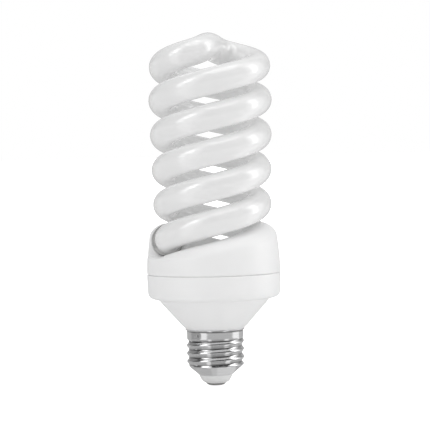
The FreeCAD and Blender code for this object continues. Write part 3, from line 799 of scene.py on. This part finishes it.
@dataclass
class UpperCover:
    """Moulded cover with two helical ramps, each ending in a hood round a tube end."""

    piece: Piece = Piece("upper_shell", "white_plastic", HOUSING_PLASTIC, ("upper_cover",), 180)
    weld: float = 0.001
    voxel: float = 0.42
    smoothing: int = 6
    smooth_share: float = 0.5

    def build(self) -> bpy.types.Object:
        """Softens every moulded edge of the CAD cover.

        Returns:
            The cover.
        """
        bm = bmesh.new()
        bm.from_mesh(frame["nodes"]["upper_cover"].data)
        bmesh.ops.remove_doubles(bm, verts=bm.verts[:], dist=self.weld * MM)
        draft = linked_object("cover_draft", named_mesh(bm, "cover_draft"))
        remesh = draft.modifiers.new("even_skin", "REMESH")
        remesh.mode = "VOXEL"
        remesh.voxel_size = self.voxel * MM
        smooth = draft.modifiers.new("soft_edges", "SMOOTH")
        smooth.iterations = self.smoothing
        smooth.factor = self.smooth_share
        graph = bpy.context.evaluated_depsgraph_get()
        mesh = bpy.data.meshes.new_from_object(draft.evaluated_get(graph))
        bpy.data.objects.remove(draft)
        return self.piece.from_mesh(mesh)


@dataclass
class LowerHousing:
    """Moulded cup: spigot in the screw shell, neck, cone, ledge and upright band."""

    piece: Piece = Piece("housing_cup", "white_plastic", HOUSING_PLASTIC, ("lower_housing",), 40)
    steps: int = 160
    band_r: float = 30.4
    seam_z: float = 51.15
    seam_bevel: float = 0.3
    band_foot_r: float = 30.2
    band_foot_z: float = 42.6
    swell_out: float = 0.78
    swell_up: float = 0.3
    ledge_r: float = 26.9
    ledge_z: float = 39.7
    ledge_step: float = 0.5
    cone_top_r: float = 24.7
    cone_top_z: float = 38.6
    cone_foot_r: float = 14.9
    cone_foot_z: float = 27.5
    neck_r: float = 13.3
    neck_top_z: float = 26.15
    rim_z: float = 25.9
    seat_r: float = 12.4
    seat_z: float = 23.1
    seat_slope: float = 0.7
    spigot_r: float = 11.65
    spigot_foot_z: float = 17.0
    wall: float = 1.6
    cone_wall: float = 2.064
    bore_r: float = 10.9
    bore_rise: float = 0.8
    band_inner_r: float = 28.5
    inner_foot_rise: float = 0.6
    floor_inset: float = 0.6

    def build(self) -> bpy.types.Object:
        """Turns the cup's closed wall round the axis.

        Returns:
            The housing.
        """
        floor_z = self.ledge_z + self.wall
        swell_r = self.ledge_r + self.swell_out * (self.band_foot_r - self.ledge_r)
        swell_z = self.ledge_z + self.swell_up * (self.band_foot_z - self.ledge_z)
        cone_inner_r = self.cone_top_r - self.cone_wall
        outside = [
            Corner(self.spigot_r, self.spigot_foot_z, 0.3),
            Corner(self.spigot_r, self.seat_z - self.seat_slope),
            Corner(self.seat_r, self.seat_z),
            Corner(self.seat_r, self.rim_z),
            Corner(self.neck_r, self.rim_z, 0.15),
            Corner(self.neck_r, self.neck_top_z, 0.1),
            Corner(self.cone_foot_r, self.cone_foot_z, 0.8),
            Corner(self.cone_top_r, self.cone_top_z, 1.2),
            Corner(self.cone_top_r + self.ledge_step, self.ledge_z, 0.3),
            Corner(self.ledge_r, self.ledge_z, 0.7),
            Corner(swell_r, swell_z, 1.1),
            Corner(self.band_foot_r, self.band_foot_z, 1.2),
            Corner(self.band_r, self.seam_z - self.seam_bevel, 0.12),
            Corner(self.band_r - self.seam_bevel, self.seam_z, 0.12),
        ]
        inside = [
            Corner(self.band_inner_r, self.seam_z),
            Corner(self.band_inner_r, self.band_foot_z + self.inner_foot_rise, 0.8),
            Corner(self.ledge_r - self.floor_inset, floor_z, 0.4),
            Corner(cone_inner_r + self.wall, floor_z),
            Corner(cone_inner_r, self.cone_top_z),
            Corner(self.bore_r, self.neck_top_z + self.bore_rise, 0.4),
            Corner(self.bore_r, self.spigot_foot_z, 0.2),
        ]
        return self.piece.from_bmesh(spin_round(profile_wire(outside + inside), self.steps))


# The screw cap


@dataclass
class ThreadShell:
    """Rolled sheet-metal shell with its taper, thread, punched collar and flared rim."""

    piece: Piece = Piece("thread_shell", "nickel_plate", NICKEL, ("screw_shell",), 50)
    steps: int = 288
    profile_steps: int = 84
    wall: float = 0.35
    pitch: float = 3.629
    crest_r: float = 13.1
    root_r: float = 12.1
    groove_z: float = 11.2
    foot_r: float = 7.8
    foot_z: float = 5.1
    taper_slope: float = 1.16
    fade_z: float = 20.4
    thread_top_z: float = 22.3
    blend_r: float = 0.2
    collar_r: float = 12.85
    collar_top_z: float = 24.7
    flare: Tuple[Tuple[float, float], ...] = (
        (12.91, 25.0), (13.07, 25.35), (13.48, 25.55), (13.6, 25.9),
    )
    punch_bearings: Tuple[float, ...] = (231.8, 351.8, 111.8)
    punch_z: float = 23.6
    punch_depth: float = 0.22
    punch_half_width: float = 0.95
    punch_half_height: float = 0.7

    def shell_radius(self, z: float, degrees: float) -> float:
        """Outer radius of the shell below its flare, without the punch marks.

        Args:
            z: height.
            degrees: bearing.

        Returns:
            The radius, where the thread and the taper blend into each other.
        """
        phase = math.tau * ((z - self.groove_z) / self.pitch - degrees / 360)
        wave = self.crest_r - (self.crest_r - self.root_r) * (1 + math.cos(phase)) / 2
        fade = eased((z - self.fade_z) / (self.thread_top_z - self.fade_z))
        threaded = wave + (self.collar_r - wave) * fade
        taper = self.foot_r + (z - self.foot_z) * self.taper_slope
        apart = abs(threaded - taper)
        return min(threaded, taper) - math.log(1 + math.exp(-apart / self.blend_r)) * self.blend_r

    def punch(self, z: float, degrees: float) -> float:
        """How far the punch marks in the collar press the shell in.

        Args:
            z: height.
            degrees: bearing.

        Returns:
            The depth there.
        """
        up = (z - self.punch_z) / self.punch_half_height
        depth = 0.0
        for bearing in self.punch_bearings:
            turn = (degrees - bearing + 180) % 360 - 180
            across = math.radians(turn) * self.collar_r / self.punch_half_width
            depth = max(depth, self.punch_depth * math.exp(-(across**2 + up**2)))
        return depth

    def build(self) -> bpy.types.Object:
        """Turns a plain skin, presses the thread into it and gives it its wall.

        Returns:
            The shell.
        """
        bm = bmesh.new()
        rise = (self.collar_top_z - self.foot_z) / self.profile_steps
        heights = [self.foot_z + rise * i for i in range(self.profile_steps + 1)]
        outline = [(self.collar_r, z) for z in heights] + list(self.flare)
        verts = [bm.verts.new((radius, 0, z)) for radius, z in outline]
        for pair in zip(verts, verts[1:]):
            bm.edges.new(pair)
        spin_round(bm, self.steps)
        flare_from = (self.collar_top_z + self.flare[0][1]) / 2
        for vert in bm.verts:
            if vert.co.z < flare_from:
                bearing = math.degrees(math.atan2(vert.co.y, vert.co.x))
                radius = self.shell_radius(vert.co.z, bearing) - self.punch(vert.co.z, bearing)
                vert.co = polar(radius, bearing, vert.co.z)
        self._wall_inwards(bm)
        return self.piece.from_bmesh(bm)

    def _wall_inwards(self, bm: bmesh.types.BMesh) -> None:
        """Turns the skin's faces outwards and adds the sheet's thickness on their inner side.

        Args:
            bm: the skin.
        """
        bmesh.ops.recalc_face_normals(bm, faces=bm.faces[:])
        lead = max(bm.faces, key=lambda f: f.calc_center_median().length)
        centre = lead.calc_center_median()
        if lead.normal.dot(Vector((centre.x, centre.y, 0))) < 0:
            bmesh.ops.reverse_faces(bm, faces=bm.faces[:])
        bmesh.ops.solidify(bm, geom=bm.faces[:], thickness=self.wall)
        bmesh.ops.recalc_face_normals(bm, faces=bm.faces[:])


@dataclass
class InsulatorCone:
    """The insulating cone between the shell and the contact."""

    piece: Piece = Piece("insulator_cone", "cap_glass", CAP_GLASS, ("cap_insulator",), 50)
    shell: ThreadShell = field(default_factory=ThreadShell)
    outside: Tuple[Corner, ...] = (
        Corner(1.4, 1.15),
        Corner(4.5, 1.15, 0.12),
        Corner(5.9, 1.85, 0.7),
        Corner(6.8, 3.05, 0.8),
    )
    play: float = 0.05
    edge_softening: float = 0.25
    foot_inset: float = 0.5005
    skirt_height: float = 3.3
    lip_height: float = 4.1
    lip_width: float = 1.2
    core: Tuple[Corner, ...] = (Corner(3.4, 8.2), Corner(1.4, 8.2))

    def build(self) -> bpy.types.Object:
        """Turns the cone's closed outline round the axis.

        Returns:
            The insulator.
        """
        foot_r, foot_z = self.shell.foot_r, self.shell.foot_z
        inner_r = foot_r - self.foot_inset
        skirt_r = inner_r + self.skirt_height * self.shell.taper_slope
        outline = [
            *self.outside,
            Corner(foot_r - self.play, foot_z - self.play, self.edge_softening),
            Corner(inner_r, foot_z),
            Corner(skirt_r, foot_z + self.skirt_height),
            Corner(skirt_r - self.lip_width, foot_z + self.lip_height),
            *self.core,
        ]
        return self.piece.from_bmesh(spin_round(profile_wire(outline), self.shell.steps))


@dataclass
class ContactButton:
    """The contact button with its hollow shank."""

    piece: Piece = Piece("contact_button", "contact_metal", CONTACT_METAL, ("centre_contact",), 35)
    steps: int = 288
    outline: Tuple[Corner, ...] = (
        Corner(0.0, 0.0),
        Corner(2.5, 0.0, 0.9),
        Corner(3.65, 0.36, 0.5),
        Corner(4.4, 0.9, 0.2),
        Corner(4.4, 1.15, 0.1),
        Corner(1.4, 1.15),
        Corner(1.4, 8.6),
        Corner(0.75, 8.6),
        Corner(0.75, 3.0),
        Corner(0.0, 3.0),
    )

    def build(self) -> bpy.types.Object:
        """Turns the button's closed outline round the axis.

        Returns:
            The contact.
        """
        return self.piece.from_bmesh(spin_round(profile_wire(self.outline), self.steps))


# What the housing holds


@dataclass
class Ballast:
    """The board, its components and the wires, which keep their CAD meshes."""

    finishes: Tuple[Finish, ...] = INSIDE_FINISHES

    def dress(self) -> None:
        """Gives every CAD node that still shows the finish of its material slot."""
        by_slot = {finish.name: finish for finish in self.finishes}
        slots = {part["node"]: part["material_slot"] for part in frame["record"]["subparts"]}
        for name, node in frame["nodes"].items():
            finish = by_slot.get(slots[name])
            if finish is None:
                continue
            material = finish.material()
            if not node.material_slots:
                node.data.materials.append(material)
            for holder in node.material_slots:
                holder.material = material
            LOG.info("%s dressed as %s", name, finish.name)


# The studio

AIM = Vector((0.0, 0.0, 0.08))
ARC_STEPS = 24

# Radius and height of the points that a card's section runs through
Section = Tuple[Tuple[float, float], ...]
NEAR_DISC: Section = ((0.0, 0.0008), (0.0135, 0.0008))
NEAR_RING: Section = ((0.0135, 0.0008), (0.045, 0.0008))
LOW_CARD: Section = ((0.045, 0.001), (1.6, 0.001), (1.6, 0.28))
TALL_CARD: Section = ((1.6, 0.28), (1.3, 1.2), (0.5, 1.75), (0.01, 1.8))
STRIP: Section = ((1.25, 0.3), (1.1, 0.8), (0.95, 1.02))


@dataclass(frozen=True)
class Softbox:
    """A soft area lamp aimed at the lamp's middle.

    Args:
        name: the lamp's name.
        azimuth: degrees round from the front towards the right.
        height: height in metres.
        distance: distance from the axis in metres.
        size: width and height in metres.
        power: watts.
    """

    name: str
    azimuth: float
    height: float
    distance: float
    size: Tuple[float, float]
    power: float

    def build(self) -> bpy.types.Object:
        """Places the lamp.

        Returns:
            The lamp.
        """
        data = bpy.data.lights.new(self.name, "AREA")
        data.shape = "RECTANGLE"
        data.size, data.size_y = self.size
        data.energy = self.power
        lamp = linked_object(self.name, data)
        place = polar(self.distance, self.azimuth + FRONT, self.height)
        lamp.location = place
        lamp.rotation_euler = (AIM - place).to_track_quat("-Z", "Y").to_euler()
        return lamp


@dataclass(frozen=True)
class Flag:
    """A grey card round the set that shows in polished surfaces only.

    Args:
        name: the card's name.
        section: radius and height in metres of the points that its section runs through.
        first: its first azimuth in degrees, from the front towards the right.
        last: its last azimuth.
        grey: how light it is.
    """

    name: str
    section: Section
    first: float
    last: float
    grey: float

    def build(self) -> bpy.types.Object:
        """Spins the card's section through its arc.

        Returns:
            The card.
        """
        bm = bmesh.new()
        start = self.first + FRONT
        verts = [bm.verts.new(polar(radius, start, z)) for radius, z in self.section]
        edges = [bm.edges.new(pair) for pair in zip(verts, verts[1:])]
        bmesh.ops.spin(
            bm,
            geom=verts + edges,
            cent=(0, 0, 0),
            axis=(0, 0, 1),
            angle=math.radians(self.last - self.first),
            steps=ARC_STEPS,
            use_merge=False,
            use_duplicate=False,
        )
        bmesh.ops.remove_doubles(bm, verts=bm.verts[:], dist=MERGE_GAP)
        card = linked_object(self.name, named_mesh(bm, self.name))
        card.data.materials.append(self._paint())
        card.visible_camera = False
        card.visible_diffuse = False
        card.visible_shadow = False
        card.visible_transmission = False
        return card

    def _paint(self) -> bpy.types.Material:
        """Makes a flat grey that gives off its own level of light.

        Returns:
            The material.
        """
        made = bpy.data.materials.new(f"{self.name}_grey")
        made.use_nodes = True
        tree = made.node_tree
        tree.nodes.clear()
        glow = tree.nodes.new("ShaderNodeEmission")
        glow.inputs["Color"].default_value = (self.grey, self.grey, self.grey, 1)
        output = tree.nodes.new("ShaderNodeOutputMaterial")
        tree.links.new(glow.outputs["Emission"], output.inputs["Surface"])
        return made


@dataclass
class Studio:
    """White floor and surroundings, soft lamps, grey cards for the metal, and the camera."""

    focal_px: float = 2009.0
    frame_px: float = 430.0
    sensor_mm: float = 36.0
    distance: float = 0.913
    eye_z: float = 0.1071
    axis_px: Tuple[float, float] = (211.11, 150.0)
    roll: float = 0.0218
    ambient: float = 0.74
    floor_r: float = 30.0
    floor_sides: int = 96
    floor_white: float = 0.95
    floor_glow: float = 0.78
    lamps: Tuple[Softbox, ...] = (
        Softbox("right_softbox", 90, 0.5, 1.0, (0.3, 1.05), 1.9),
        Softbox("left_softbox", -50, 0.8, 0.95, (0.25, 0.5), 0.95),
        Softbox("top_softbox", 20, 1.3, 0.3, (0.8, 0.8), 3.0),
    )
    flags: Tuple[Flag, ...] = (
        Flag("under_left", NEAR_DISC, -130, -20, 0.56),
        Flag("under_middle", NEAR_DISC, -20, 5, 0.66),
        Flag("under_right", NEAR_DISC, 5, 230, 0.78),
        Flag("ring_left", NEAR_RING, -30, -16, 1.0),
        Flag("ring_front", NEAR_RING, -16, 38, 0.4),
        Flag("ring_right", NEAR_RING, 38, 57, 1.05),
        Flag("ring_back", NEAR_RING, 57, 330, 0.5),
        Flag("left_strip", STRIP, -68, -54, 2.5),
        Flag("left_light", LOW_CARD, -60, -33, 1.1),
        Flag("front_low", LOW_CARD, -33, 74, 0.58),
        Flag("front_tall", TALL_CARD, -26, 72, 0.03),
        Flag("right_light", LOW_CARD, 74, 112, 1.14),
        Flag("back_right_low", LOW_CARD, 112, 146, 0.58),
        Flag("back_right_tall", TALL_CARD, 118, 146, 0.36),
        Flag("back_low", LOW_CARD, 146, 210, 0.5),
        Flag("back_tall", TALL_CARD, 146, 210, 0.55),
        Flag("left_low", LOW_CARD, -112, -60, 0.4),
        Flag("left_tall", TALL_CARD, -112, -70, 0.1),
        Flag("back_left_low", LOW_CARD, -150, -112, 0.56),
        Flag("back_left_tall", TALL_CARD, -150, -112, 0.3),
    )

    def build(self) -> None:
        """Builds the set."""
        for part in (*self.lamps, *self.flags):
            part.build()
        self._floor()
        self._world()
        self._camera()
        bpy.context.scene.view_settings.view_transform = "Standard"

    def _show(self, tree: Tree, lighting: Socket, seen: Socket, output: Node) -> None:
        """Shows one shader to camera, glossy and transmission rays and lights with another.

        Args:
            tree: the tree of the material or the world.
            lighting: the shader that lights.
            seen: the shader that is seen.
            output: the tree's output.
        """
        rays = tree.nodes.new("ShaderNodeLightPath")
        mask = rays.outputs["Is Camera Ray"]
        for kind in ("Is Glossy Ray", "Is Transmission Ray"):
            mask = math_node(tree, "MAXIMUM", mask, rays.outputs[kind]).outputs[0]
        either = tree.nodes.new("ShaderNodeMixShader")
        tree.links.new(mask, either.inputs["Fac"])
        tree.links.new(lighting, either.inputs[1])
        tree.links.new(seen, either.inputs[2])
        tree.links.new(either.outputs["Shader"], output.inputs["Surface"])

    def _world(self) -> None:
        """White where it is seen, and a plain ambient level where it lights."""
        world = bpy.data.worlds.new("studio")
        bpy.context.scene.world = world
        world.use_nodes = True
        tree = world.node_tree
        tree.nodes.clear()
        seen = tree.nodes.new("ShaderNodeBackground")
        seen.inputs["Color"].default_value = (1, 1, 1, 1)
        lighting = tree.nodes.new("ShaderNodeBackground")
        lighting.inputs["Color"].default_value = (1, 1, 1, 1)
        lighting.inputs["Strength"].default_value = self.ambient
        output = tree.nodes.new("ShaderNodeOutputWorld")
        self._show(tree, lighting.outputs["Background"], seen.outputs["Background"], output)

    def _floor(self) -> None:
        """A pale floor that is white to the camera apart from the lamp's soft shadow."""
        bm = bmesh.new()
        bmesh.ops.create_circle(bm, cap_ends=True, radius=self.floor_r, segments=self.floor_sides)
        floor = linked_object("floor", named_mesh(bm, "floor"))
        made = bpy.data.materials.new("floor_white")
        made.use_nodes = True
        tree = made.node_tree
        tree.nodes.clear()
        matt = tree.nodes.new("ShaderNodeBsdfDiffuse")
        white = self.floor_white
        matt.inputs["Color"].default_value = (white, white, white, 1)
        glow = tree.nodes.new("ShaderNodeEmission")
        glow.inputs["Strength"].default_value = self.floor_glow
        lit = tree.nodes.new("ShaderNodeAddShader")
        tree.links.new(matt.outputs["BSDF"], lit.inputs[0])
        tree.links.new(glow.outputs["Emission"], lit.inputs[1])
        output = tree.nodes.new("ShaderNodeOutputMaterial")
        self._show(tree, matt.outputs["BSDF"], lit.outputs["Shader"], output)
        floor.data.materials.append(made)

    def _camera(self) -> None:
        """Puts the camera where the photograph was taken from."""
        data = bpy.data.cameras.new("camera")
        data.sensor_width = self.sensor_mm
        data.lens = self.sensor_mm * self.focal_px / self.frame_px
        middle = self.frame_px / 2
        off_x, off_y = middle - self.axis_px[0], middle - self.axis_px[1]
        across = math.cos(self.roll) * off_x - math.sin(self.roll) * off_y
        down = math.sin(self.roll) * off_x + math.cos(self.roll) * off_y
        ahead = Vector((across / self.focal_px, 1, -down / self.focal_px)).normalized()
        level_right = ahead.cross(Vector((0, 0, 1))).normalized()
        level_up = level_right.cross(ahead)
        right = level_right * math.cos(self.roll) - level_up * math.sin(self.roll)
        up = level_right * math.sin(self.roll) + level_up * math.cos(self.roll)
        turn = Matrix((right, up, -ahead)).transposed().to_4x4()
        camera = linked_object("camera", data)
        camera.matrix_world = Matrix.Translation((0, -self.distance, self.eye_z)) @ turn
        bpy.context.scene.camera = camera


def main() -> None:
    """Builds the lamp's pieces in order, then the studio."""
    logging.basicConfig(level=logging.INFO, format="%(message)s")
    SpiralTube().build()
    UpperCover().build()
    LowerHousing().build()
    ThreadShell().build()
    InsulatorCone().build()
    ContactButton().build()
    Ballast().dress()
    Studio().build()


if __name__ == "__main__":
    main()
